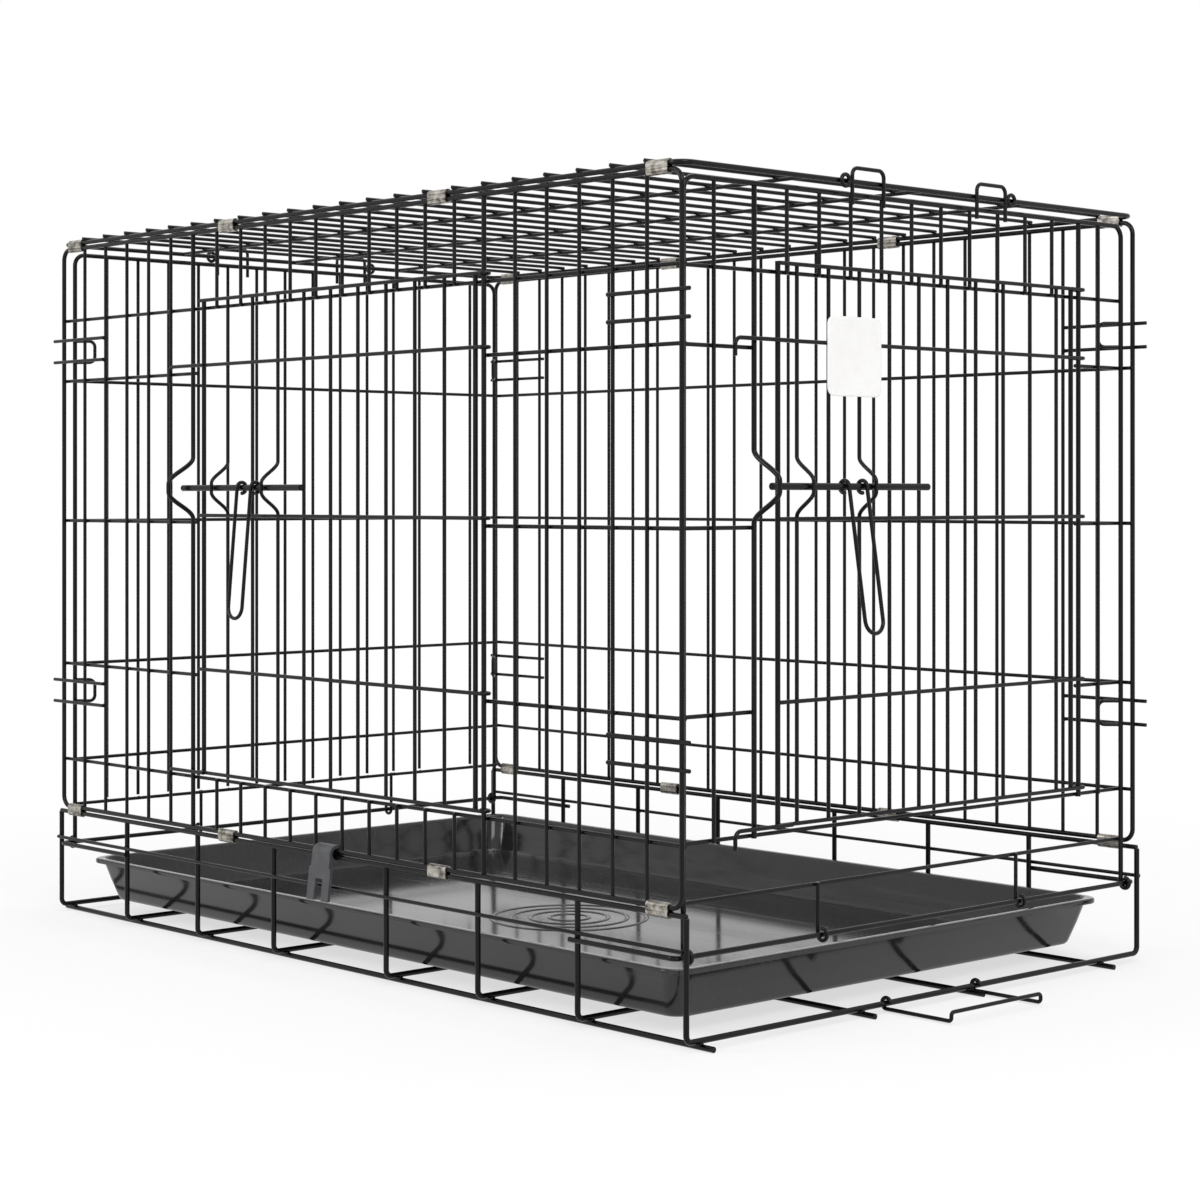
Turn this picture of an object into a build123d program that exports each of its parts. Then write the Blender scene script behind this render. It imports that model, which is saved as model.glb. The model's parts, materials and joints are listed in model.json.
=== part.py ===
from build123d import *
import math
import os

# A folding wire crate for a pet. Millimetres, +X is the front, +Z is up, and the
# origin is on the floor under the middle of the crate.

# Overall sizes
length = 760.0
width = 486.0
height = 570.0

# Wire diameters
mesh_d = 2.8
frame_d = 3.6
floor_d = 4.0
bolt_d = 4.8

# Fits
weld_sink = 0.08
eye_gap = 0.4
bar_eye_gap = 0.1
panel_gap = 0.6
stack_gap = 0.8

# Radii of the bends
corner_bend = 9.0
small_bend = 5.0
eye_turn = 270.0

# Drops of the upper long wires below the full height
header_drop = 69.0
level_drops = (120.0, 238.0, 359.0)

# Heights of the lower long wires above the floor
sill_z = 130.0
end_low_z = 92.0
base_top_z = 86.0
base_mid_z = 64.0
cross_bar_z = 59.0
end_top_drop = 8.0
door_lift = 5.5

# Base
cross_bay = 103.0
middle_bay = 139.0
bays_each_side = 3
floor_wire_y = (-227.0, -73.0, 195.0)
floor_wire_overhang = 12.0
bar_inset = 6.0

# Side and end panels
side_bays = 23
door_first_bay = 6
door_last_bay = 17
side_end_inset = 4.0
corner_leg = 10.0
front_latch_u = 168.0
front_hinge_u = 180.0
front_door_bays = 11
front_jamb_u = 205.0
short_upright_u = 106.0
rear_bays = 15
catch_drops = (86.0, 104.0)
low_catch_z = (197.0, 179.0)
catch_overhang = 10.0
catch_reach = 17.0

# Doors
front_door_margin = (10.0, 22.0)
side_door_margin = (8.5, 16.0)
front_edge_bay = 18.0
side_edge_bay = 33.5
front_door_wires = 10
side_door_wires = 9
hook_overhang = 24.0
hook_drop = 12.0
hook_root = 8.0

# Sliding bolts
bolt_z = 359.0
bolt_length = 157.0
bolt_overreach = 24.0
bolt_stroke = 28.0
bolt_out = 12.0
keeper_out = 23.0
keeper_half = 20.0
bulge_top_half = 9.0
handle_length = 100.0
handle_span = 18.0
handle_lean = {"front": 9.0, "near": 5.0}
handle_gap = 4.0

# Top panel
top_runner_y = (0.0, 120.0)
hook_centre_y = 66.0
hook_span = 32.0
staple_rise = 9.0
staple_drop = 16.0
ring_radius = 3.9

# Clips of rolled sheet
clip_length = 20.0
clip_wall = 1.0
clip_gap = 0.1
clip_bays = (0, 7)

# Tray
tray_inset_x = 12.0
tray_inset_y = 11.0
tray_slope = 11.0
tray_rim_z = 47.0
tray_wall = 2.0
tray_rim = 5.0
tray_corner = 16.0
tray_rest_gap = 0.3
runner_depth = 3.4
runner_width = 12.0
runner_y = 140.0
runner_inset = 50.0

# Gate in front of the tray
gate_span = 96.0
gate_wire_gap = 6.0
gate_lip = 6.0
gate_behind = 2.5
gate_bend = 2.5
bar_clearance = 0.3

# Carrying strap
strap_width = 26.0
strap_loop_width = 22.0
strap_wall = 2.4
strap_gap = 0.4
strap_bottom_z = 54.0
strap_flare = 4.0
strap_neck = 10.0
slot_width = 9.0
slot_height = 16.0

# Blank plate on the front door
plate_size = 54.0
plate_wall = 1.4
plate_corner = 6.0
plate_u = 76.0
plate_drop = 123.0

mesh_r = mesh_d / 2
frame_r = frame_d / 2
floor_r = floor_d / 2
bolt_r = bolt_d / 2

# Places that follow from the sizes above
header_z = height - header_drop
levels_z = tuple(height - drop for drop in level_drops)
catch_z = tuple(height - drop for drop in catch_drops)
plate_z = height - plate_drop
floor_places = (*floor_wire_y, gate_span / 2 - gate_wire_gap)
end_wire_x = length / 2 - floor_r
bar_x = end_wire_x - bar_inset
bar_eye = frame_r + bar_eye_gap + frame_r
end_plane = bar_x - bar_eye
side_end_x = length / 2 - frame_r - side_end_inset
level_out = frame_r + mesh_r - weld_sink
upright_out = frame_r - mesh_r
side_y = width / 2 - frame_r - mesh_r
edge_u = side_y - level_out - mesh_r - panel_gap - frame_r
stack = frame_d + stack_gap
panel_bottom_z = base_top_z + stack
roof_z = height - mesh_d - frame_r
panel_top_z = roof_z - stack
end_top_z = roof_z - end_top_drop
bay = 2 * side_end_x / side_bays
cross_z = floor_r + floor_d - weld_sink
door_eye = frame_r + eye_gap + mesh_r

up = (0, 0, 1)
world = Plane.XY
front = Plane(origin=(end_plane, 0, 0), x_dir=(0, -1, 0), z_dir=up)
rear = Plane(origin=(-end_plane, 0, 0), x_dir=(0, 1, 0), z_dir=up)
near = Plane(origin=(0, -side_y, 0), x_dir=(-1, 0, 0), z_dir=up)
far = Plane(origin=(0, side_y, 0), x_dir=(1, 0, 0), z_dir=up)

os.makedirs("parts", exist_ok=True)


def save(name, solids):
    """Write the solids of one node, each still a separate solid."""
    group = Compound(label=name, children=solids)
    export_step(group, f"parts/{name}.step")


def straight(wall, start, end, diameter):
    """One straight wire between two points given along, out of and up the wall."""
    first = wall.from_local_coords(Vector(*start))
    run = wall.from_local_coords(Vector(*end)) - first
    with BuildPart() as piece:
        with BuildSketch(Plane(origin=first, z_dir=run)):
            Circle(diameter / 2)
        extrude(amount=run.length)
    return piece.part.solid()


def bent(wall, points, diameter, radius):
    """One bent wire through the points, with the same radius at each bend."""
    places = [wall.from_local_coords(Vector(*point)) for point in points]
    with BuildPart() as piece:
        with BuildLine() as path:
            FilletPolyline(*places, radius=radius)
        with BuildSketch(Plane(origin=path.line @ 0, z_dir=path.line % 0)):
            Circle(diameter / 2)
        sweep(path=path.line)
    return piece.part.solid()


def eyed(plane, run, diameter, eye_radius):
    """A straight wire that ends in an eye round the origin of the plane."""
    with BuildPart() as piece:
        with BuildLine(plane) as path:
            Line((eye_radius, run), (eye_radius, 0))
            CenterArc((0, 0), eye_radius, 0, -eye_turn)
        with BuildSketch(Plane(origin=path.line @ 0, z_dir=path.line % 0)):
            Circle(diameter / 2)
        sweep(path=path.line)
    return piece.part.solid()


def ring(plane, radius, diameter):
    """A closed ring of wire round the axis of the plane."""
    with BuildPart() as piece:
        with BuildSketch(Plane(origin=plane.from_local_coords((radius, 0, 0)), z_dir=plane.y_dir)):
            Circle(diameter / 2)
        revolve(axis=Axis(plane.origin, plane.z_dir), revolution_arc=360)
    return piece.part.solid()


def uprights(wall, places, bottom, top):
    """Upright mesh wires, their inner sides flush with the frame wires."""
    return [straight(wall, (u, -upright_out, bottom), (u, -upright_out, top), mesh_d) for u in places]


def level(wall, start, end, z):
    """A level mesh wire on the inner side of the uprights."""
    return straight(wall, (start, -level_out, z), (end, -level_out, z), mesh_d)


def bulged(wall, u, out, peak, bottom, top, diameter):
    """An upright wire that bulges outward over a sliding bolt, in five runs."""
    foot = keeper_half - bulge_top_half
    low, high = bolt_z - keeper_half, bolt_z + keeper_half
    lower = [(u, out, low - foot), (u, out, low), (u, peak, bolt_z - bulge_top_half)]
    upper = [(u, out, high + foot), (u, out, high), (u, peak, bolt_z + bulge_top_half)]
    knee = diameter / 2 + weld_sink
    tip_low = (u, peak, bolt_z - bulge_top_half + knee * 2)
    tip_high = (u, peak, bolt_z + bulge_top_half - knee * 2)
    return [
        straight(wall, (u, out, bottom), lower[0], diameter),
        bent(wall, lower + [tip_low], diameter, diameter / 2 + weld_sink),
        straight(wall, tip_low, tip_high, diameter),
        bent(wall, upper + [tip_high], diameter, diameter / 2 + weld_sink),
        straight(wall, upper[0], (u, out, top), diameter),
    ]


def bar_eyes(wall, places, diameter, out, run):
    """Upright wires of an end panel with an eye at the bottom round its cross bar."""
    made = []
    for u in places:
        centre = wall.from_local_coords((u, bar_eye, cross_bar_z))
        plane = Plane(origin=centre, x_dir=-wall.y_dir, z_dir=-wall.x_dir)
        made.append(eyed(plane, run - cross_bar_z, diameter, bar_eye - out))
    return made


def corner_catches(wall):
    """Small wire loops that reach in at 45 degrees from the edges of an end panel."""
    made = []
    root = (frame_r - weld_sink / 2) / math.sqrt(2)
    tip = catch_reach / math.sqrt(2)
    for side in (-1, 1):
        for high, low in (catch_z, low_catch_z):
            inner = (side * (edge_u - tip), -tip)
            outer = (side * (edge_u - root), -root)
            points = [(*outer, high), (*inner, high), (*inner, low), (*outer, low)]
            made.append(bent(wall, points, mesh_d, small_bend))
    return made


def corner(wall, point, leg_a, leg_b):
    """A quarter bend of frame wire at a corner point, with two short legs."""
    first = tuple(place + leg for place, leg in zip(point, leg_a))
    last = tuple(place + leg for place, leg in zip(point, leg_b))
    return bent(wall, [first, point, last], frame_d, corner_bend)


def side_frame(wall):
    """The round-cornered frame of a side panel: four straight runs and four corners."""
    low, high, e, leg = panel_bottom_z, panel_top_z, side_end_x, corner_leg
    made = [straight(wall, (leg - e, 0, z), (e - leg, 0, z), frame_d) for z in (low, high)]
    for side in (-1, 1):
        u = side * e
        made.append(straight(wall, (u, 0, low + leg), (u, 0, high - leg), frame_d))
        made.append(corner(wall, (u, 0, low), (-side * leg, 0, 0), (0, 0, leg)))
        made.append(corner(wall, (u, 0, high), (-side * leg, 0, 0), (0, 0, -leg)))
    return made


def side_catch_wires(wall):
    """Pairs of short wires outside a side panel that stick out past both its ends."""
    made = []
    for side in (-1, 1):
        for z in catch_z + low_catch_z:
            start = side * (side_end_x - 2 * bay - mesh_r)
            end = side * (side_end_x + catch_overhang)
            made.append(straight(wall, (start, level_out, z), (end, level_out, z), mesh_d))
    return made


# Base: eight cross wires bent up at both sides
cross_x = [middle_bay / 2 + cross_bay * i for i in range(bays_each_side)] + [end_wire_x]
upright_top = base_top_z - frame_r + weld_sink
base_cross = []
for x in [-place for place in cross_x] + cross_x:
    inner = side_y - small_bend
    base_cross.append(straight(world, (x, -inner, cross_z), (x, inner, cross_z), floor_d))
    for side in (-1, 1):
        y = side * side_y
        points = [(x, side * inner, cross_z), (x, y, cross_z), (x, y, upright_top)]
        base_cross.append(bent(world, points, floor_d, small_bend - weld_sink))
save("base_cross_wires", base_cross)

reach = end_wire_x + floor_wire_overhang
floor_wires = [straight(world, (-reach, y, floor_r), (reach, y, floor_r), floor_d) for y in sorted(floor_places)]
save("base_floor_wires", floor_wires)

side_wires = []
mid_out = floor_r + mesh_r - weld_sink
for wall in (near, far):
    for out, z, diameter in ((0, base_top_z, frame_d), (mid_out, base_mid_z, mesh_d)):
        side_wires.append(straight(wall, (-end_wire_x, out, z), (end_wire_x, out, z), diameter))
save("base_side_wires", side_wires)

# Cross bars of the base that the end panels turn on
bar_y = side_y + floor_r + frame_r - weld_sink
bar_leg_x = cross_x[-2] - floor_d
for name, side in (("front_cross_bar", 1), ("rear_cross_bar", -1)):
    inner = bar_y - 2 * small_bend
    bar = [straight(world, (side * bar_x, -inner, cross_bar_z), (side * bar_x, inner, cross_bar_z), frame_d)]
    for hand in (-1, 1):
        start = (side * bar_x, hand * inner, cross_bar_z)
        bend = (side * bar_x, hand * bar_y, cross_bar_z)
        end = (side * bar_leg_x, hand * bar_y, cross_bar_z)
        bar.append(bent(world, [start, bend, end], frame_d, small_bend))
    save(name, bar)

# Side panels
side_places = [bay * i - side_end_x for i in range(1, side_bays)]
hinge_u = bay * door_first_bay - side_end_x
latch_u = bay * door_last_bay - side_end_x
upright_bottom_z = panel_bottom_z + frame_r - weld_sink
upright_top_z = panel_top_z - frame_r + weld_sink

far_wires = side_frame(far) + uprights(far, side_places, upright_bottom_z, upright_top_z)
far_wires += [level(far, -side_end_x, side_end_x, z) for z in levels_z + (sill_z,)]
save("far_side_panel", far_wires)

jambs = [u for u in side_places if u < hinge_u - mesh_r or u > latch_u + mesh_r]
spans = [u for u in side_places if hinge_u + mesh_r < u < latch_u - mesh_r]
near_wires = side_frame(near) + uprights(near, jambs, upright_bottom_z, upright_top_z)
near_wires += uprights(near, spans, header_z - mesh_r, upright_top_z)
near_wires += uprights(near, spans, upright_bottom_z, sill_z + mesh_r)
near_wires.append(straight(near, (hinge_u, 0, upright_bottom_z), (hinge_u, 0, upright_top_z), frame_d))
near_wires += [level(near, -side_end_x, side_end_x, z) for z in (header_z, sill_z)]
for z in levels_z:
    near_wires.append(level(near, -side_end_x, hinge_u, z))
    near_wires.append(level(near, latch_u, side_end_x, z))
save("near_side_panel", near_wires)
save("side_door_keeper", bulged(near, latch_u, 0, keeper_out, upright_bottom_z, upright_top_z, frame_d))
save("near_side_catch_wires", side_catch_wires(near))
save("far_side_catch_wires", side_catch_wires(far))

# Top panel
inner_x, inner_y = side_end_x - corner_leg, side_y - corner_leg
roof = []
for side in (-1, 1):
    x, y = side * side_end_x, side * side_y
    roof.append(straight(world, (x, -inner_y, roof_z), (x, inner_y, roof_z), frame_d))
    roof.append(straight(world, (-inner_x, y, roof_z), (inner_x, y, roof_z), frame_d))
    for hand in (-1, 1):
        point = (x, hand * side_y, roof_z)
        roof.append(corner(world, point, (-side * corner_leg, 0, 0), (0, -hand * corner_leg, 0)))
cross_roof_z = roof_z + frame_r + mesh_r - weld_sink
for x in side_places:
    start, end = (x, -side_y - frame_r, cross_roof_z), (x, side_y + frame_r, cross_roof_z)
    roof.append(straight(world, start, end, mesh_d))
runner_z = cross_roof_z - mesh_d + weld_sink
end_face = side_end_x - frame_r + weld_sink
for y in sorted({side * place for place in top_runner_y for side in (-1, 1)}):
    roof.append(straight(world, (-end_face, y, runner_z), (end_face, y, runner_z), mesh_d))
save("top_panel", roof)

staple_x = side_end_x + frame_r + mesh_r - weld_sink
for name, side in (("top_front_hooks", 1), ("top_rear_hooks", -1)):
    hooks = []
    for hand in (-1, 1):
        low, high = roof_z - staple_drop, roof_z + staple_rise
        first = hand * (hook_centre_y - hook_span / 2)
        last = hand * (hook_centre_y + hook_span / 2)
        x = side * staple_x
        staple = [(x, first, low), (x, first, high), (x, last, high), (x, last, low)]
        hooks.append(bent(world, staple, mesh_d, small_bend))
        centre = (x, last + hand * (ring_radius + mesh_d + weld_sink), roof_z)
        hooks.append(ring(Plane(origin=centre, x_dir=(0, 1, 0), z_dir=(1, 0, 0)), ring_radius, mesh_d))
    save(name, hooks)

# Clips of rolled zinc sheet along the four long edges
clip_places = []
for index in clip_bays:
    centre = side_end_x - bay * (index + 0.5)
    shift = corner_bend / 2 if index == 0 else 0
    clip_places += [centre - shift, -centre + shift]
for wall, side in ((near, "near"), (far, "far")):
    for edge, z in (("top", panel_top_z), ("bottom", base_top_z)):
        clips = []
        for u in clip_places:
            middle = wall.from_local_coords((u - clip_length / 2, 0, z + stack / 2))
            profile = Plane(origin=middle, x_dir=up, z_dir=wall.x_dir)
            with BuildPart() as clip:
                with BuildSketch(profile):
                    SlotCenterToCenter(stack, frame_d + 2 * (clip_gap + clip_wall))
                    SlotCenterToCenter(stack, frame_d + 2 * clip_gap, mode=Mode.SUBTRACT)
                extrude(amount=clip_length)
            clips.append(clip.part.solid())
        save(f"{side}_{edge}_clips", clips)


def end_panel(wall):
    """The frame and the level wires that both end panels have."""
    split = end_top_z - corner_leg
    e = edge_u
    inner = e - corner_leg
    made = [straight(wall, (-inner, 0, end_top_z), (inner, 0, end_top_z), frame_d)]
    for side in (-1, 1):
        made.append(corner(wall, (side * e, 0, end_top_z), (-side * corner_leg, 0, 0), (0, 0, -corner_leg)))
    made += bar_eyes(wall, (-e, e), frame_d, 0, split)
    made += bar_eyes(wall, (-short_upright_u, short_upright_u), mesh_d, -upright_out, end_low_z + mesh_r)
    made += [level(wall, -e, e, z) for z in (sill_z, end_low_z)]
    return made


# End panels
end_upright_top = end_top_z - frame_r + weld_sink
rear_pitch = 2 * edge_u / rear_bays
rear_places = [rear_pitch * i - edge_u for i in range(1, rear_bays)]
rear_wires = end_panel(rear) + uprights(rear, rear_places, end_low_z + mesh_d, end_upright_top)
rear_wires += [level(rear, -edge_u, edge_u, z) for z in levels_z]
save("rear_end_panel", rear_wires)
save("rear_corner_catches", corner_catches(rear))

front_pitch = (front_hinge_u + front_latch_u) / front_door_bays
front_spans = [front_pitch * i - front_hinge_u for i in range(1, front_door_bays)]
front_jambs = (-front_jamb_u, front_jamb_u)
front_wires = end_panel(front) + uprights(front, front_jambs, sill_z - mesh_r, end_upright_top)
front_wires += uprights(front, front_spans, header_z - mesh_r, end_upright_top)
hinge_foot = (-front_hinge_u, 0, sill_z - mesh_r)
front_wires.append(straight(front, hinge_foot, (-front_hinge_u, 0, end_upright_top), frame_d))
front_wires.append(level(front, -edge_u, edge_u, header_z))
for z in levels_z:
    front_wires.append(level(front, -edge_u, -front_hinge_u, z))
    front_wires.append(level(front, front_latch_u, edge_u, z))
save("front_end_panel", front_wires)
save("front_door_keeper", bulged(front, front_latch_u, 0, keeper_out, sill_z - mesh_r, end_upright_top, frame_d))
save("front_corner_catches", corner_catches(front))


def door(wall, hinge, latch, margin, edge_bay, count):
    """A door: cross wires with hinge eyes, two edge wires, uprights and bolt guides."""
    first, last = hinge + margin[0], latch - margin[1]
    pitch = (last - first - 2 * edge_bay) / (count - 1)
    bottom, top = sill_z + door_lift, header_z + door_lift
    inner = door_eye - mesh_d + weld_sink
    edge_out = door_eye - frame_r - mesh_r + weld_sink
    wires = []
    for z in (top, bottom) + tuple(z + door_lift for z in levels_z):
        centre = wall.from_local_coords((hinge, 0, z))
        plane = Plane(origin=centre, x_dir=wall.y_dir, z_dir=(0, 0, -1))
        wires.append(eyed(plane, last + frame_r - hinge, mesh_d, door_eye))
    for u in (first, last):
        wires.append(straight(wall, (u, edge_out, bottom - mesh_r), (u, edge_out, top + mesh_r), frame_d))
    places = [first + edge_bay + pitch * i for i in range(count)]
    guided = guide_places(places)
    for u in places:
        if u not in guided:
            wires.append(straight(wall, (u, inner, bottom - mesh_r), (u, inner, top + mesh_r), mesh_d))
    peak = bolt_out + bolt_r + eye_gap + mesh_r
    guides = []
    for u in guided:
        guides += bulged(wall, u, inner, peak, bottom - mesh_r, top + mesh_r, mesh_d)
    return wires, guides, guided


def guide_places(places):
    """The two door wires that carry the bolt, counted from the latch side."""
    return [places[-1], places[-3]]


def door_hooks(wall, latch, margin):
    """Hooks of wire on the latch edge of a door that reach past the door opening."""
    out = door_eye + 2 * mesh_r - weld_sink
    made = []
    for z in (sill_z + door_lift, levels_z[0] + door_lift):
        start = (latch - margin[1] - hook_root, out, z)
        bend = (latch + hook_overhang, out, z)
        end = (latch + hook_overhang, out, z - hook_drop)
        made.append(bent(wall, [start, bend, end], mesh_d, small_bend))
    return made


def bolt(wall, latch, guided, lean):
    """The rod of a drawn bolt, and its U handle with two eyes round the rod."""
    tip = latch + bolt_overreach - bolt_stroke
    rod = straight(wall, (tip - bolt_length, bolt_out, bolt_z), (tip, bolt_out, bolt_z), bolt_d)
    eye = bolt_r + eye_gap + mesh_r
    first = guided[0] - mesh_d - handle_gap - bolt_stroke
    angle = math.radians(lean)
    made = []
    for u in (first, first - handle_span):
        centre = wall.from_local_coords((u, bolt_out, bolt_z))
        outward = wall.y_dir * math.cos(angle) + Vector(0, 0, 1) * math.sin(angle)
        plane = Plane(origin=centre, x_dir=outward, z_dir=-wall.x_dir)
        made.append(eyed(plane, handle_length - small_bend * 2, mesh_d, eye))
    down = Vector(0, 0, -1) * math.cos(angle) + wall.y_dir * math.sin(angle)
    offset = outward * eye
    low, high = handle_length - small_bend * 2, handle_length
    corners = []
    for u, drop in ((first, low), (first, high), (first - handle_span, high), (first - handle_span, low)):
        corners.append(wall.from_local_coords((u, bolt_out, bolt_z)) + offset + down * drop)
    made.append(bent(world, [tuple(point) for point in corners], mesh_d, small_bend))
    return rod, made


# Doors and their sliding bolts
front_parts = door(front, -front_hinge_u, front_latch_u, front_door_margin, front_edge_bay, front_door_wires)
side_parts = door(near, hinge_u, latch_u, side_door_margin, side_edge_bay, side_door_wires)
save("front_door", front_parts[0])
save("front_bolt_guides", front_parts[1])
save("front_door_hooks", door_hooks(front, front_latch_u, front_door_margin))
save("side_door", side_parts[0])
save("side_bolt_guides", side_parts[1])
save("side_door_hooks", door_hooks(near, latch_u, side_door_margin))

front_rod, front_handle = bolt(front, front_latch_u, front_parts[2], handle_lean["front"])
side_rod, side_handle = bolt(near, latch_u, side_parts[2], handle_lean["near"])
save("front_bolt_rod", [front_rod])
save("front_bolt_handle", front_handle)
save("side_bolt_rod", [side_rod])
save("side_bolt_handle", side_handle)

# Blank plate on the front door
plate_plane = Plane(
    origin=front.from_local_coords((plate_u, door_eye + mesh_r - weld_sink / 2, plate_z)),
    x_dir=front.x_dir,
    z_dir=front.y_dir,
)
with BuildPart() as name_plate:
    with BuildSketch(plate_plane):
        RectangleRounded(plate_size, plate_size, plate_corner)
    extrude(amount=plate_wall)
name_plate.part.label = "name_plate"
export_step(name_plate.part, "parts/name_plate.step")

# Tray with sloping walls, a flat rim and two runners under its floor
tray_x = end_plane - tray_inset_x
tray_y = side_y - frame_r - tray_inset_y
tray_bottom = cross_z + floor_r + tray_rest_gap + runner_depth


def tray_outline(z, shrink):
    """Half sizes of the tray wall at a height."""
    share = (tray_rim_z - z) / (tray_rim_z - tray_bottom)
    inset = tray_rim + tray_slope * share + shrink
    return 2 * (tray_x - inset), 2 * (tray_y - inset)


with BuildPart() as tray:
    for z in (tray_bottom, tray_rim_z):
        with BuildSketch(Plane.XY.offset(z)):
            RectangleRounded(*tray_outline(z, 0), tray_corner)
    loft(ruled=True)
    with BuildSketch(Plane.XY.offset(tray_rim_z - tray_wall)):
        RectangleRounded(2 * tray_x, 2 * tray_y, tray_corner)
    extrude(amount=tray_wall)
    for z in (tray_bottom + tray_wall, tray_rim_z):
        with BuildSketch(Plane.XY.offset(z)):
            RectangleRounded(*tray_outline(z, tray_wall), tray_corner - tray_wall)
    loft(ruled=True, mode=Mode.SUBTRACT)
tray_pieces = [tray.part.solid()]
for side in (-1, 1):
    with BuildPart() as runner:
        with BuildSketch(Plane.XY.offset(tray_bottom - runner_depth)):
            with Locations((0, side * runner_y)):
                RectangleRounded(2 * (tray_x - runner_inset), runner_width, runner_width / 3)
        extrude(amount=runner_depth)
    tray_pieces.append(runner.part.solid())
save("tray", tray_pieces)

# Wire gate in front of the tray, shown lowered to the floor
gate_eye = floor_r + eye_gap + mesh_r
closed_x = bar_x - gate_behind - end_wire_x
closed_z = cross_bar_z + frame_r + mesh_r + bar_clearance - cross_z
gate_tip_z = gate_lip - gate_eye
gate_reach = math.sqrt(closed_x**2 + closed_z**2 - gate_tip_z**2)
gate_turn = math.degrees(math.atan2(closed_z, closed_x) - math.atan2(gate_tip_z, gate_reach))
print("gate turns", round(gate_turn, 2), "degrees")
gate = []
for side in (-1, 1):
    y = side * gate_span / 2
    plane = Plane(origin=(end_wire_x, y, cross_z), x_dir=(0, 0, -1), z_dir=(0, -1, 0))
    gate.append(eyed(plane, gate_reach - gate_lip, mesh_d, gate_eye))
low_z = cross_z - gate_eye
corner_x = end_wire_x + gate_reach
for side in (-1, 1):
    y = side * gate_span / 2
    inner_y = side * (gate_span / 2 - gate_lip)
    points = [
        (corner_x - gate_lip, y, low_z),
        (corner_x, y, low_z),
        (corner_x, y, low_z + gate_lip),
        (corner_x, inner_y, low_z + gate_lip),
    ]
    gate.append(bent(world, points, mesh_d, gate_bend))
tip_z = low_z + gate_lip
inner_y = gate_span / 2 - gate_lip
gate.append(straight(world, (corner_x, -inner_y, tip_z), (corner_x, inner_y, tip_z), mesh_d))
save("tray_gate", gate)

# Plastic carrying strap that hangs on the joined edge wires in the middle bay
loop_z = base_top_z + stack / 2
loop_inner = stack / 2 + frame_r + strap_gap
loop_outer = loop_inner + strap_wall
neck_flare = strap_flare * strap_neck / (loop_z - strap_bottom_z)
neck = [
    (loop_inner, 0),
    (loop_outer, 0),
    (loop_outer + neck_flare, strap_neck),
    (loop_inner + neck_flare, strap_neck),
]
drop = loop_z - strap_bottom_z
band = [neck[3], neck[2], (loop_outer + strap_flare, drop), (loop_inner + strap_flare, drop)]
loop_plane = Plane(origin=(-strap_loop_width / 2, -side_y, loop_z), x_dir=(0, -1, 0), z_dir=(1, 0, 0))
slot_plane = Plane(origin=(0, -side_y, strap_bottom_z), x_dir=(1, 0, 0), z_dir=(0, -1, 0))
with BuildPart() as carry_strap:
    with BuildSketch(loop_plane):
        Circle(loop_outer)
        Polygon(*neck, align=None)
        Circle(loop_inner, mode=Mode.SUBTRACT)
    extrude(amount=strap_loop_width)
    with BuildSketch(loop_plane.offset((strap_loop_width - strap_width) / 2)):
        Polygon(*band, align=None)
    extrude(amount=strap_width)
    with BuildSketch(slot_plane):
        Rectangle(slot_width, slot_height, align=(Align.CENTER, Align.MIN))
    extrude(amount=2 * loop_outer + strap_flare, mode=Mode.SUBTRACT)
carry_strap.part.label = "carry_strap"
export_step(carry_strap.part, "parts/carry_strap.step")
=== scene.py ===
"""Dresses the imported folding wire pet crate: finishes, welds, bolt wires, tray, plate, studio."""
import json
import logging
import math
from dataclasses import dataclass, field
from enum import Enum

import bmesh
import bpy
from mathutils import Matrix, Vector

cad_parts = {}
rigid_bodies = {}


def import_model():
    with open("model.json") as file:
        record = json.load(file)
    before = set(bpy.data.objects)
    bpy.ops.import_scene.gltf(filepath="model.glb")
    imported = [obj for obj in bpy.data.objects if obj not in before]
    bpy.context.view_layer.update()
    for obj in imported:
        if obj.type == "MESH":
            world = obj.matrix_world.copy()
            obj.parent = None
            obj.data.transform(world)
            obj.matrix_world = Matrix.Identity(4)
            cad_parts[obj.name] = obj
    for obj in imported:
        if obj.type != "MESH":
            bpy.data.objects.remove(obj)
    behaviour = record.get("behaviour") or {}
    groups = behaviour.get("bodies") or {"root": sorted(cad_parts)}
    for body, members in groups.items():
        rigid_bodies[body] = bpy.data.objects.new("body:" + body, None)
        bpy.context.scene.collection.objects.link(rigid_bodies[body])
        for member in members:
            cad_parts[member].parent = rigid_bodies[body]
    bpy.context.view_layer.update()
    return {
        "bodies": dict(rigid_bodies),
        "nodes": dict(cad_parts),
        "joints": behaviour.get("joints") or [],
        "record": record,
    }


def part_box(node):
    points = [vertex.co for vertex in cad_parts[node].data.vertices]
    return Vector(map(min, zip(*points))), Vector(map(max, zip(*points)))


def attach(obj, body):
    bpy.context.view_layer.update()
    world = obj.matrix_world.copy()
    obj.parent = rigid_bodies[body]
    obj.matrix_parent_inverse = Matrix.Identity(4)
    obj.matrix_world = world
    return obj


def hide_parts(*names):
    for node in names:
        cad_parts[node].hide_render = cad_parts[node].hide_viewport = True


LOG = logging.getLogger("crate")
MM = 0.001
WHITE = (1.0, 1.0, 1.0, 1.0)
MERGE_DISTANCE = 0.005 * MM


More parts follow.
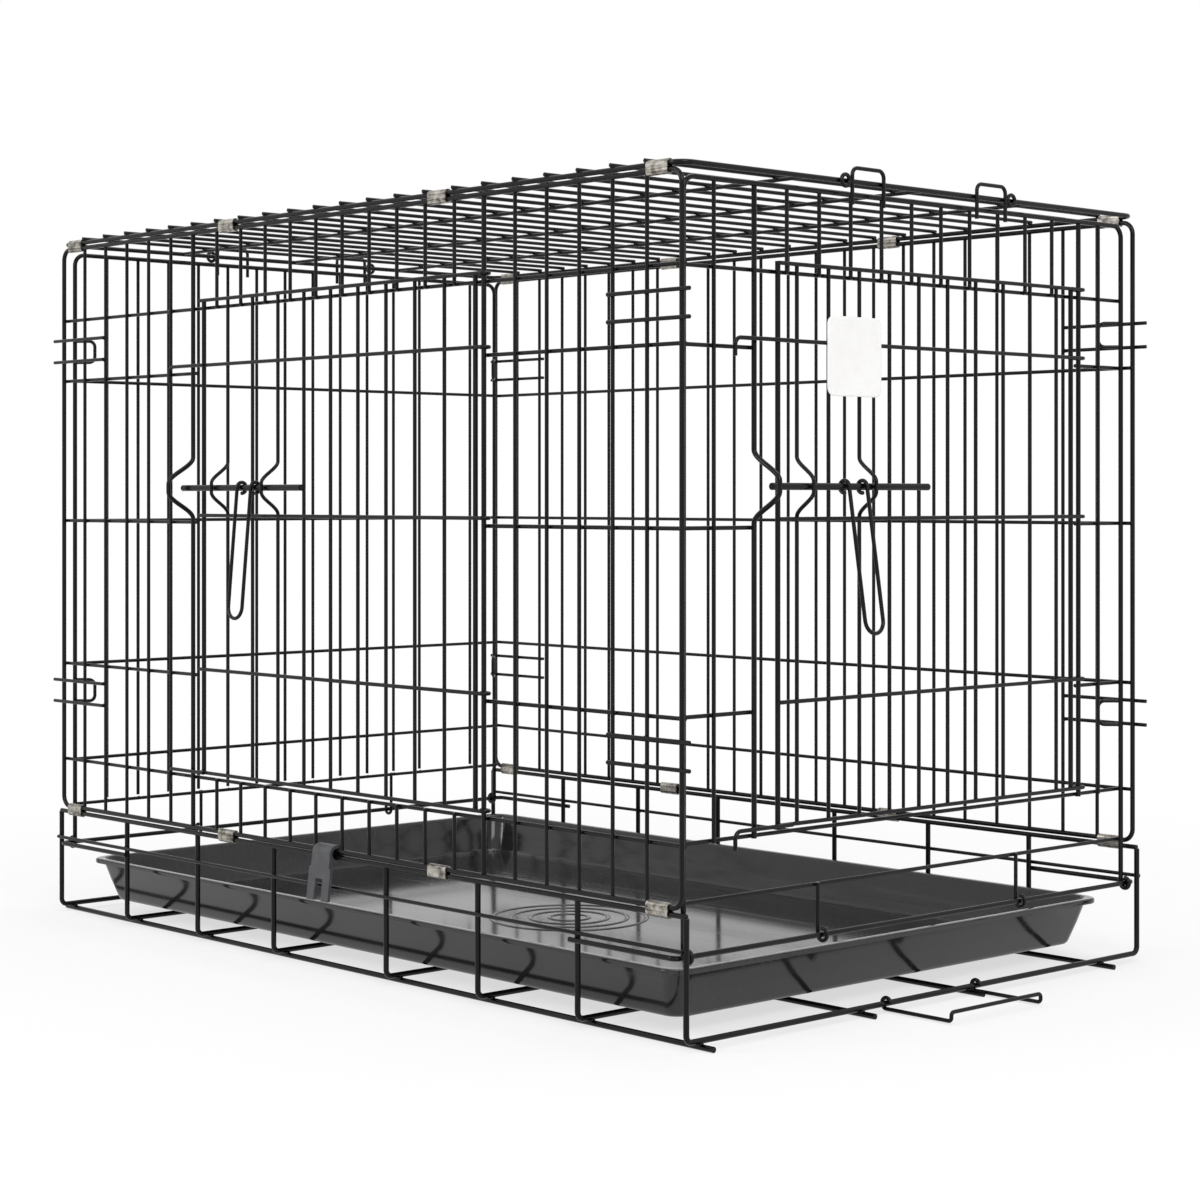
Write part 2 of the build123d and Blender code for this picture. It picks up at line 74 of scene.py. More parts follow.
class Signal:
    """A shader output whose maths is written with Python's operators."""

    def __init__(self, shade: "Shade", socket: bpy.types.NodeSocket) -> None:
        """Keep the socket and the shader that it belongs to."""
        self.shade = shade
        self.socket = socket

    def _join(self, operation: str, first: object, second: object) -> "Signal":
        """Return the Math node of one operation on two values."""
        return self.shade.node("ShaderNodeMath", {"operation": operation}, {0: first, 1: second})

    def __add__(self, other: object) -> "Signal":
        """Return self + other."""
        return self._join("ADD", self, other)

    def __radd__(self, other: object) -> "Signal":
        """Return other + self."""
        return self._join("ADD", other, self)

    def __mul__(self, other: object) -> "Signal":
        """Return self * other."""
        return self._join("MULTIPLY", self, other)


class Shade:
    """The node tree of a material or a world under construction."""

    def __init__(self, owner: bpy.types.Material | bpy.types.World) -> None:
        """Empty the owner's node tree.

        Args:
            owner: The material or the world.
        """
        self.owner = owner
        owner.use_nodes = True
        self.tree = owner.node_tree
        self.tree.nodes.clear()

    def node(self, kind: str, settings: dict | None = None, values: dict | None = None,
             output: int | str = 0) -> Signal:
        """Add one node.

        Args:
            kind: The node's type.
            settings: Properties, set first; "stops" fills a colour ramp.
            values: A value or a Signal for each named or numbered input.
            output: The output that is handed back.

        Returns:
            The chosen output.
        """
        made = self.tree.nodes.new(kind)
        for key, value in (settings or {}).items():
            if key == "stops":
                while len(made.color_ramp.elements) < len(value):
                    made.color_ramp.elements.new(0.5)
                for stop, (place, level) in zip(made.color_ramp.elements, value):
                    stop.position = place
                    stop.color = (level, level, level, 1.0)
            else:
                setattr(made, key, value)
        for key, value in (values or {}).items():
            if isinstance(value, Signal):
                self.tree.links.new(value.socket, made.inputs[key])
            else:
                made.inputs[key].default_value = value
        return Signal(self, made.outputs[output])

    def place(self, stretch: tuple[float, float, float] = (1.0, 1.0, 1.0)) -> Signal:
        """Return Object coordinates in metres, stretched along each axis."""
        where = self.node("ShaderNodeTexCoord", output="Object")
        return self.node("ShaderNodeMapping", None, {"Vector": where, "Scale": stretch})

    def noise(self, where: Signal, scale: float, detail: float = 3.0) -> Signal:
        """Return noise from 0 to 1 with features of about 1 / scale metres."""
        return self.node("ShaderNodeTexNoise", None,
                         {"Vector": where, "Scale": scale, "Detail": detail})

    def ramp(self, level: Signal, low: float, high: float) -> Signal:
        """Return 0 below low and 1 above high, smooth between them."""
        stops = [(low, 0.0), (high, 1.0)]
        return self.node("ShaderNodeValToRGB", {"stops": stops}, {"Fac": level})

    def mix(self, share: Signal, first: tuple, second: tuple) -> Signal:
        """Return a colour between two, by a share from 0 to 1."""
        return self.node("ShaderNodeMix", {"data_type": "RGBA"},
                         {"Factor": share, 6: (*first, 1.0), 7: (*second, 1.0)}, output=2)

    def bump(self, height: Signal, strength: float, depth: float) -> Signal:
        """Return a normal raised by a height signal."""
        return self.node("ShaderNodeBump", None,
                         {"Height": height, "Strength": strength, "Distance": depth})

    def finish(self, values: dict) -> bpy.types.Material:
        """Close the material with one Principled shader.

        Args:
            values: The shader's inputs.

        Returns:
            The finished material.
        """
        shader = self.node("ShaderNodeBsdfPrincipled", None, values)
        self.close(shader)
        return self.owner

    def close(self, shader: Signal, kind: str = "ShaderNodeOutputMaterial") -> None:
        """Link a shader to the owner's output."""
        end = self.tree.nodes.new(kind)
        self.tree.links.new(shader.socket, end.inputs["Surface"])


@dataclass(frozen=True)
class BlackCoat:
    """Black electro-coated steel wire: semi-gloss, a faint orange peel and dull handling marks."""

    base: tuple[float, float, float] = (0.002, 0.002, 0.0023)
    rubbed: tuple[float, float, float] = (0.009, 0.009, 0.0095)
    roughness: float = 0.17
    specular: float = 0.2
    patches_per_metre: float = 26.0
    specks_per_metre: float = 420.0
    peel_per_metre: float = 1400.0
    peel_depth: float = 0.04 * MM

    def build(self, name: str) -> bpy.types.Material:
        """Return the material under a name."""
        shade = Shade(bpy.data.materials.new(name))
        where = shade.place()
        patches = shade.ramp(shade.noise(where, self.patches_per_metre), 0.42, 0.72)
        specks = shade.ramp(shade.noise(where, self.specks_per_metre, 5.0), 0.6, 0.75)
        peel = shade.noise(where, self.peel_per_metre, 2.0)
        return shade.finish({
            "Base Color": shade.mix(patches * 0.5 + specks * 0.3, self.base, self.rubbed),
            "Roughness": self.roughness + patches * 0.12 + specks * 0.1,
            "Specular IOR Level": self.specular,
            "Normal": shade.bump(peel, 0.1, self.peel_depth),
        })


@dataclass(frozen=True)
class RolledZinc:
    """Zinc-plated sheet, rolled to a clip: brushed along its length, with dark creases."""

    bright: tuple[float, float, float] = (0.50, 0.475, 0.43)
    dull: tuple[float, float, float] = (0.085, 0.075, 0.062)
    roughness: float = 0.2
    clouds_per_metre: float = 190.0
    grain_stretch: tuple[float, float, float] = (40.0, 1400.0, 1400.0)
    crease_stretch: tuple[float, float, float] = (60.0, 420.0, 420.0)
    streak_stretch: tuple[float, float, float] = (30.0, 520.0, 520.0)
    crease_depth: float = 0.35 * MM

    def build(self, name: str) -> bpy.types.Material:
        """Return the material under a name."""
        shade = Shade(bpy.data.materials.new(name))
        grain = shade.noise(shade.place(self.grain_stretch), 1.0, 6.0)
        cloud = shade.ramp(shade.noise(shade.place(), self.clouds_per_metre, 4.0), 0.38, 0.66)
        crease = shade.noise(shade.place(self.crease_stretch), 1.0, 2.0)
        streak = shade.ramp(shade.noise(shade.place(self.streak_stretch), 1.0, 3.0), 0.46, 0.6)
        return shade.finish({
            "Base Color": shade.mix(cloud * 0.75 + streak * 0.45, self.bright, self.dull),
            "Metallic": 1.0,
            "Roughness": self.roughness + grain * 0.16 + cloud * 0.12,
            "Normal": shade.bump(crease + grain * 0.3, 0.5, self.crease_depth),
        })


@dataclass(frozen=True)
class TrayPlastic:
    """Glossy black moulded plastic with a very fine grain and faint sliding scuffs."""

    base: tuple[float, float, float] = (0.012, 0.012, 0.0135)
    scuffed: tuple[float, float, float] = (0.034, 0.034, 0.037)
    roughness: float = 0.09
    refraction: float = 1.49
    scuff_stretch: tuple[float, float, float] = (5.0, 260.0, 120.0)
    clouds_per_metre: float = 9.0
    grain_per_metre: float = 2600.0
    ripples_per_metre: float = 14.0
    ripple_depth: float = 0.5 * MM

    def build(self, name: str) -> bpy.types.Material:
        """Return the material under a name."""
        shade = Shade(bpy.data.materials.new(name))
        where = shade.place()
        scuffs = shade.ramp(shade.noise(shade.place(self.scuff_stretch), 1.0, 5.0), 0.55, 0.78)
        cloud = shade.noise(where, self.clouds_per_metre, 2.0)
        grain = shade.noise(where, self.grain_per_metre, 1.0)
        ripple = shade.noise(where, self.ripples_per_metre, 1.0)
        return shade.finish({
            "Base Color": shade.mix(scuffs * 0.55 + cloud * 0.25, self.base, self.scuffed),
            "Roughness": self.roughness + scuffs * 0.1 + cloud * 0.03,
            "IOR": self.refraction,
            "Normal": shade.bump(grain * 0.03 + ripple, 0.07, self.ripple_depth),
        })


@dataclass(frozen=True)
class StrapPlastic:
    """Matt dark grey moulded plastic with a leather-like grain and pale worn patches scattered by
    noise.
    """

    base: tuple[float, float, float] = (0.045, 0.046, 0.05)
    worn: tuple[float, float, float] = (0.11, 0.11, 0.115)
    roughness: float = 0.46
    wear_per_metre: float = 120.0
    grain_per_metre: float = 1300.0
    grain_depth: float = 0.25 * MM

    def build(self, name: str) -> bpy.types.Material:
        """Return the material under a name."""
        shade = Shade(bpy.data.materials.new(name))
        where = shade.place()
        grain = shade.node("ShaderNodeTexVoronoi", None,
                           {"Vector": where, "Scale": self.grain_per_metre}, output="Distance")
        wear = shade.ramp(shade.noise(where, self.wear_per_metre, 4.0), 0.5, 0.8)
        return shade.finish({
            "Base Color": shade.mix(wear * 0.6, self.base, self.worn),
            "Roughness": self.roughness + wear * 0.16 + grain * 0.08,
            "Normal": shade.bump(grain, 0.25, self.grain_depth),
        })


@dataclass(frozen=True)
class PlateEnamel:
    """White coated sheet, slightly mottled, satin."""

    base: tuple[float, float, float] = (0.95, 0.945, 0.93)
    mottled: tuple[float, float, float] = (0.90, 0.89, 0.87)
    roughness: float = 0.3
    clouds_per_metre: float = 70.0
    peel_per_metre: float = 1500.0
    peel_depth: float = 0.15 * MM

    def build(self, name: str) -> bpy.types.Material:
        """Return the material under a name."""
        shade = Shade(bpy.data.materials.new(name))
        where = shade.place()
        cloud = shade.ramp(shade.noise(where, self.clouds_per_metre, 5.0), 0.4, 0.75)
        peel = shade.noise(where, self.peel_per_metre, 2.0)
        return shade.finish({
            "Base Color": shade.mix(cloud * 0.6, self.base, self.mottled),
            "Roughness": self.roughness + cloud * 0.15,
            "Normal": shade.bump(peel, 0.1, self.peel_depth),
        })


class Finish(Enum):
    """The finishes of the crate, by the material slot of the record."""

    WIRE = "black_wire"
    ZINC = "zinc_sheet"
    TRAY = "tray_plastic"
    STRAP = "strap_plastic"
    PLATE = "blank_plate"


RECIPES = {Finish.WIRE: BlackCoat(), Finish.ZINC: RolledZinc(), Finish.TRAY: TrayPlastic(),
           Finish.STRAP: StrapPlastic(), Finish.PLATE: PlateEnamel()}


class Palette:
    """Makes each finish once and paints objects with it."""

    def __init__(self) -> None:
        """Build the material of every finish."""
        self.made = {finish: recipe.build(finish.value) for finish, recipe in RECIPES.items()}

    def paint(self, target: bpy.types.Object, finish: Finish) -> None:
        """Put one finish on every material slot of an object.

        Args:
            target: The CAD node or piece.
            finish: The finish that it gets.
        """
        if not target.material_slots:
            target.data.materials.append(self.made[finish])
        for place in target.material_slots:
            place.material = self.made[finish]

    def dress_frame(self, frame: dict) -> None:
        """Paint every CAD node with the finish that its record names."""
        slots = {part["node"]: part["material_slot"] for part in frame["record"]["subparts"]}
        for name, target in frame["nodes"].items():
            self.paint(target, Finish(slots[name]))


def new_object(name: str, mesh: bpy.types.Mesh) -> bpy.types.Object:
    """Link a mesh to the scene as an object at the origin and return it."""
    made = bpy.data.objects.new(name, mesh)
    bpy.context.scene.collection.objects.link(made)
    return made


def closed_mesh(name: str, builder: bmesh.types.BMesh, smooth_degrees: float) -> bpy.types.Mesh:
    """Turn a bmesh to a mesh with outward faces, smooth below an angle.

    Args:
        name: The mesh's name.
        builder: The bmesh, which is freed.
        smooth_degrees: Edges sharper than this stay sharp.

    Returns:
        The mesh.
    """
    bmesh.ops.remove_doubles(builder, verts=builder.verts, dist=MERGE_DISTANCE)
    bmesh.ops.recalc_face_normals(builder, faces=builder.faces)
    mesh = bpy.data.meshes.new(name)
    builder.to_mesh(mesh)
    builder.free()
    mesh.shade_smooth()
    mesh.set_sharp_from_angle(angle=math.radians(smooth_degrees))
    return mesh


def rounded_loop(half_x: float, half_y: float, radius: float,
                 steps: int) -> list[tuple[float, float]]:
    """Return the points of a rounded rectangle, anticlockwise, the same number for every size."""
    points = []
    for quarter, (sign_x, sign_y) in enumerate(((1, 1), (-1, 1), (-1, -1), (1, -1))):
        centre_x, centre_y = sign_x * (half_x - radius), sign_y * (half_y - radius)
        for step in range(steps + 1):
            turn = math.radians(90.0 * (quarter + step / steps))
            points.append((centre_x + radius * math.cos(turn), centre_y + radius * math.sin(turn)))
    return points


def lofted(builder: bmesh.types.BMesh, loops: list[list[Vector]]) -> None:
    """Skin a list of closed loops of equal length and cap both ends."""
    rows = [[builder.verts.new(point) for point in loop] for loop in loops]
    count = len(rows[0])
    for low, high in zip(rows, rows[1:]):
        for i in range(count):
            j = (i + 1) % count
            builder.faces.new((low[i], low[j], high[j], high[i]))
    builder.faces.new(rows[0])
    builder.faces.new(rows[-1])


def tube(builder: bmesh.types.BMesh, path: list[Vector], radius: float, sides: int = 14) -> None:
    """Skin a round wire along a path, without twist, and cap both ends.

    Args:
        builder: The bmesh that gets the wire.
        path: The points of its middle line.
        radius: The wire's radius.
        sides: How many faces go round it.
    """
    heading = (path[1] - path[0]).normalized()
    across = heading.orthogonal().normalized()
    rings = []
    for i, point in enumerate(path):
        onward = (path[min(i + 1, len(path) - 1)] - path[max(i - 1, 0)]).normalized()
        across = (heading.rotation_difference(onward) @ across).normalized()
        heading = onward
        other = heading.cross(across)
        turns = [2 * math.pi * k / sides for k in range(sides)]
        rings.append([point + (across * math.cos(turn) + other * math.sin(turn)) * radius
                      for turn in turns])
    lofted(builder, rings)


class Tree:
    """A Geometry Nodes tree with named inputs."""

    def __init__(self, name: str, sizes: dict[str, float]) -> None:
        """Create the tree, its geometry sockets and one input for each size.

        Args:
            name: The tree's name.
            sizes: The named inputs with their values; whole numbers become integer inputs.
        """
        self.tree = bpy.data.node_groups.new(name, "GeometryNodeTree")
        face = self.tree.interface
        face.new_socket("Geometry", in_out="INPUT", socket_type="NodeSocketGeometry")
        face.new_socket("Geometry", in_out="OUTPUT", socket_type="NodeSocketGeometry")
        self.sizes = sizes
        self.keys = {}
        for key, value in sizes.items():
            kind = "NodeSocketInt" if isinstance(value, int) else "NodeSocketFloat"
            self.keys[key] = face.new_socket(key, in_out="INPUT", socket_type=kind).identifier
        self.start = self.tree.nodes.new("NodeGroupInput")
        self.end = self.tree.nodes.new("NodeGroupOutput")

    def size(self, key: str) -> bpy.types.NodeSocket:
        """Return the socket of a named input."""
        return self.start.outputs[key]

    def node(self, kind: str, settings: dict | None = None,
             values: dict | None = None) -> bpy.types.Node:
        """Add a node, set its properties, then its inputs, and return it."""
        made = self.tree.nodes.new(kind)
        for key, value in (settings or {}).items():
            setattr(made, key, value)
        for key, value in (values or {}).items():
            if isinstance(value, bpy.types.NodeSocket):
                self.tree.links.new(value, made.inputs[key])
            else:
                made.inputs[key].default_value = value
        return made

    def bake(self, geometry: bpy.types.NodeSocket, holder: bpy.types.Object,
             material: bpy.types.Material, name: str) -> bpy.types.Object:
        """End the tree, evaluate it on an object and keep the result as a plain mesh.

        Args:
            geometry: The last geometry socket.
            holder: The object that feeds the tree; it is removed.
            material: The material of the result.
            name: The name of the finished piece.

        Returns:
            The finished piece.
        """
        real = self.node("GeometryNodeRealizeInstances", None, {0: geometry})
        dressed = self.node("GeometryNodeSetMaterial", None,
                            {"Geometry": real.outputs[0], "Material": material})
        self.tree.links.new(dressed.outputs[0], self.end.inputs[0])
        modifier = holder.modifiers.new(name, "NODES")
        modifier.node_group = self.tree
        for key, value in self.sizes.items():
            modifier[self.keys[key]] = value
        ready = holder.evaluated_get(bpy.context.evaluated_depsgraph_get())
        mesh = bpy.data.meshes.new_from_object(ready)
        mesh.name = name
        bpy.data.objects.remove(holder)
        if not mesh.materials:
            mesh.materials.append(material)
        return new_object(name, mesh)


@dataclass
class Wall:
    """A flat wall of wires: along it, out of it and up."""

    origin: tuple[float, float, float]
    along: tuple[float, float, float]
    outward: tuple[float, float, float]

    def at(self, u: float, o: float, z: float) -> Vector:
        """Return the place of a point given along, out of and up the wall, in millimetres."""
        place = Vector(self.origin) + Vector(self.along) * u + Vector(self.outward) * o
        return (place + Vector((0.0, 0.0, z))) * MM

    def across(self, wide: float, thin: float) -> Vector:
        """Return the size of a weld that is thin through the wall."""
        return Vector([thin if abs(part) > 0.5 else wide for part in self.outward]) * MM


@dataclass
class Welds:
    """Flattened weld beads where two wires of one welded panel cross, in millimetres."""

    # Long sides and ends: planes, uprights and level wires.
    end_plane: float = 368.3
    side_y: float = 239.8
    side_end: float = 374.2
    side_wires: int = 24
    bay: float = 32.539
    edge_u: float = 232.88
    end_wires: int = 16
    levels: tuple[float, ...] = (450.0, 332.0, 211.0)
    sill: float = 130.0
    low: float = 92.0
    low_posts: tuple[float, float] = (-106.0, 106.0)
    header: float = 501.0
    catch_levels: tuple[float, ...] = (484.0, 466.0, 197.0, 179.0)
    catch_wires: int = 3
    # Doorways and doors: where they start and end, their margins, edge bays and uprights.
    doorway_u: tuple[float, float] = (-180.0, 168.0)
    doorway_wires: int = 12
    beside_doorway: float = 205.0
    side_door_wires: tuple[int, int] = (6, 17)
    front_margins: tuple[float, float] = (10.0, 22.0)
    front_edge: float = 18.0
    front_door_wires: int = 10
    side_margins: tuple[float, float] = (8.5, 16.0)
    side_edge: float = 33.5
    side_door_uprights: int = 9
    door_lift: float = 5.5
    # How far out of the wall the wires touch.
    contact: float = -1.76
    door_contact: float = 2.24
    catch_contact: float = 1.5
    # Top panel and base.
    roof_y: float = 120.0
    roof_z: float = 567.16
    cross_x: tuple[float, ...] = (69.5, 172.5, 275.5, 378.0)
    floor_y: tuple[float, ...] = (-227.0, -73.0, 42.0, 195.0)
    floor_z: float = 3.96
    mid_wire_out: float = 1.96
    mid_wire_z: float = 64.0
    edge_wire_z: float = 84.3
    # Beads: half width and half thickness.
    mesh_bead: tuple[float, float] = (1.75, 1.15)
    base_bead: tuple[float, float] = (2.4, 1.5)
    mid_bead_scale: float = 0.85
    edge_bead_scale: float = 0.95
    lumps_per_metre: float = 900.0
    lump_reach: float = 10.0
    spots: dict[str, list] = field(default_factory=dict)

    def walls(self) -> tuple[Wall, Wall, Wall, Wall]:
        """Return the front, rear, near and far wall."""
        return (Wall((self.end_plane, 0, 0), (0, -1, 0), (1, 0, 0)),
                Wall((-self.end_plane, 0, 0), (0, 1, 0), (-1, 0, 0)),
                Wall((0, -self.side_y, 0), (-1, 0, 0), (0, -1, 0)),
                Wall((0, self.side_y, 0), (1, 0, 0), (0, 1, 0)))

    def grid(self, body: str, wall: Wall, places: list[float], heights: list[float],
             out: float) -> None:
        """Note a weld at each crossing of some uprights and some level wires.

        Args:
            body: The body that the welds ride on.
            wall: The wall that they lie in.
            places: Where the uprights are along the wall.
            heights: Where the level wires are.
            out: How far out of the wall the wires touch.
        """
        size = wall.across(*self.mesh_bead)
        for u in places:
            for z in heights:
                self.spots.setdefault(body, []).append((wall.at(u, out, z), size))

    def collect(self) -> None:
        """Note every weld of the five welded bodies."""
        front, rear, near, far = self.walls()
        side = [self.bay * i - self.side_end for i in range(self.side_wires)]
        self.long_sides(near, far, side)
        self.rear_wall(rear)
        self.front_wall(front)
        self.doors(front, near, side)
        self.roof(side)
        self.base()

    def long_sides(self, near: Wall, far: Wall, side: list[float]) -> None:
        """Note the welds of both side panels and their catch wires."""
        hinge, latch = self.side_door_wires
        self.grid("crate", far, side, [*self.levels, self.sill], self.contact)
        self.grid("crate", near, side, [self.header, self.sill], self.contact)
        self.grid("crate", near, side[:hinge + 1] + side[latch:], list(self.levels), self.contact)
        ends = side[:self.catch_wires] + side[-self.catch_wires:]
        for wall in (near, far):
            self.grid("crate", wall, ends, list(self.catch_levels), self.catch_contact)

    def rear_wall(self, rear: Wall) -> None:
        """Note the welds of the rear end panel."""
        pitch = 2 * self.edge_u / (self.end_wires - 1)
        places = [pitch * i - self.edge_u for i in range(self.end_wires)]
        self.grid("rear_end", rear, places, [*self.levels, self.sill, self.low], self.contact)
        self.grid("rear_end", rear, list(self.low_posts), [self.low], self.contact)

    def front_wall(self, front: Wall) -> None:
        """Note the welds of the front end panel."""
        first, last = self.doorway_u
        pitch = (last - first) / (self.doorway_wires - 1)
        spans = [pitch * i + first for i in range(self.doorway_wires)]
        left, right = [-self.edge_u, -self.beside_doorway], [self.beside_doorway, self.edge_u]
        heights = [*self.levels, self.sill]
        posts = [-self.edge_u, *self.low_posts, self.edge_u]
        self.grid("front_end", front, left + spans + right, [self.header], self.contact)
        self.grid("front_end", front, left + [first, last] + right, heights, self.contact)
        self.grid("front_end", front, posts, [self.low], self.contact)

    def doors(self, front: Wall, near: Wall, side: list[float]) -> None:
        """Note the welds of both doors."""
        lifted = [z + self.door_lift for z in (self.header, *self.levels, self.sill)]
        places = self.door_places(*self.doorway_u, self.front_margins, self.front_edge,
                                  self.front_door_wires)
        self.grid("front_door", front, places, lifted, self.door_contact)
        hinge, latch = (side[i] for i in self.side_door_wires)
        places = self.door_places(hinge, latch, self.side_margins, self.side_edge,
                                  self.side_door_uprights)
        self.grid("side_door", near, places, lifted, self.door_contact)

    @staticmethod
    def door_places(hinge: float, latch: float, margin: tuple[float, float], edge: float,
                    count: int) -> list[float]:
        """Return where the uprights and the two edge wires of a door are."""
        first, last = hinge + margin[0], latch - margin[1]
        pitch = (last - first - 2 * edge) / (count - 1)
        return [first, last] + [first + edge + pitch * i for i in range(count)]

    def roof(self, side: list[float]) -> None:
        """Note the welds of the top panel."""
        wide, thin = self.mesh_bead
        size = Vector((wide, wide, thin)) * MM
        for x in side[1:-1]:
            for y in (-self.side_y, -self.roof_y, 0.0, self.roof_y, self.side_y):
                self.spots["crate"].append((Vector((x, y, self.roof_z)) * MM, size))

    def base(self) -> None:
        """Note the welds of the base's cross wires, floor wires and side wires."""
        wide, thin = self.base_bead
        flat, upright = Vector((wide, wide, thin)) * MM, Vector((wide, thin, wide)) * MM
        spots = self.spots["crate"]
        for x in [sign * place for place in self.cross_x for sign in (-1, 1)]:
            for y in self.floor_y:
                spots.append((Vector((x, y, self.floor_z)) * MM, flat))
            for sign in (-1, 1):
                middle = Vector((x, sign * (self.side_y + self.mid_wire_out), self.mid_wire_z))
                spots.append((middle * MM, upright * self.mid_bead_scale))
                edge = Vector((x, sign * self.side_y, self.edge_wire_z))
                spots.append((edge * MM, flat * self.edge_bead_scale))

    def make(self, palette: Palette) -> list[bpy.types.Object]:
        """Build one piece of weld beads for each body.

        Args:
            palette: The finishes.

        Returns:
            The pieces.
        """
        self.collect()
        made = []
        for body, spots in self.spots.items():
            mesh = bpy.data.meshes.new(body + "_points")
            mesh.from_pydata([place for place, _ in spots], [], [])
            width = mesh.attributes.new("bead_size", "FLOAT_VECTOR", "POINT")
            for item, (_, size) in zip(width.data, spots):
                item.vector = size
            holder = new_object(body + "_holder", mesh)
            made.append(self.beads(body, holder, palette.made[Finish.WIRE]))
            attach(made[-1], body)
        return made

    def beads(self, body: str, holder: bpy.types.Object,
              material: bpy.types.Material) -> bpy.types.Object:
        """Grow a lumpy bead at each point of an object.

        Args:
            body: The body's name, for the piece's name.
            holder: The object with a vertex at each weld.
            material: The wire's finish.

        Returns:
            The piece.
        """
        tree = Tree(body + "_weld_tree",
                    {"Size Spread": 0.14, "Lump": 0.09, "Bead Detail": 2, "Seed": 7})
        bead = tree.node("GeometryNodeMeshIcoSphere", None,
                         {"Radius": 1.0, "Subdivisions": tree.size("Bead Detail")})
        size = tree.node("GeometryNodeInputNamedAttribute", {"data_type": "FLOAT_VECTOR"},
                         {"Name": "bead_size"})
        low = tree.node("ShaderNodeMath", {"operation": "SUBTRACT"},
                        {0: 1.0, 1: tree.size("Size Spread")})
        spread = tree.node("FunctionNodeRandomValue", {"data_type": "FLOAT"},
                           {2: low.outputs[0], 3: 1.0, "Seed": tree.size("Seed")})
        scale = tree.node("ShaderNodeVectorMath", {"operation": "SCALE"},
                          {0: size.outputs[0], "Scale": spread.outputs[1]})
        grown = tree.node("GeometryNodeInstanceOnPoints", None,
                          {"Points": tree.start.outputs[0], "Instance": bead.outputs[0],
                           "Scale": scale.outputs[0]})
        real = tree.node("GeometryNodeRealizeInstances", None, {0: grown.outputs[0]})
        noise = tree.node("ShaderNodeTexNoise", None,
                          {"Scale": self.lumps_per_metre, "Detail": 1.0})
        centred = tree.node("ShaderNodeMath", {"operation": "SUBTRACT"},
                            {0: noise.outputs[0], 1: 0.5})
        depth = tree.node("ShaderNodeMath", {"operation": "MULTIPLY"},
                          {0: centred.outputs[0], 1: tree.size("Lump")})
        push = tree.node("ShaderNodeMath", {"operation": "MULTIPLY"},
                         {0: depth.outputs[0], 1: self.lump_reach * MM})
        normal = tree.node("GeometryNodeInputNormal")
        shift = tree.node("ShaderNodeVectorMath", {"operation": "SCALE"},
                          {0: normal.outputs[0], "Scale": push.outputs[0]})
        moved = tree.node("GeometryNodeSetPosition", None,
                          {"Geometry": real.outputs[0], "Offset": shift.outputs[0]})
        smooth = tree.node("GeometryNodeSetShadeSmooth", None, {"Geometry": moved.outputs[0]})
        return tree.bake(smooth.outputs[0], holder, material, body + "_welds")


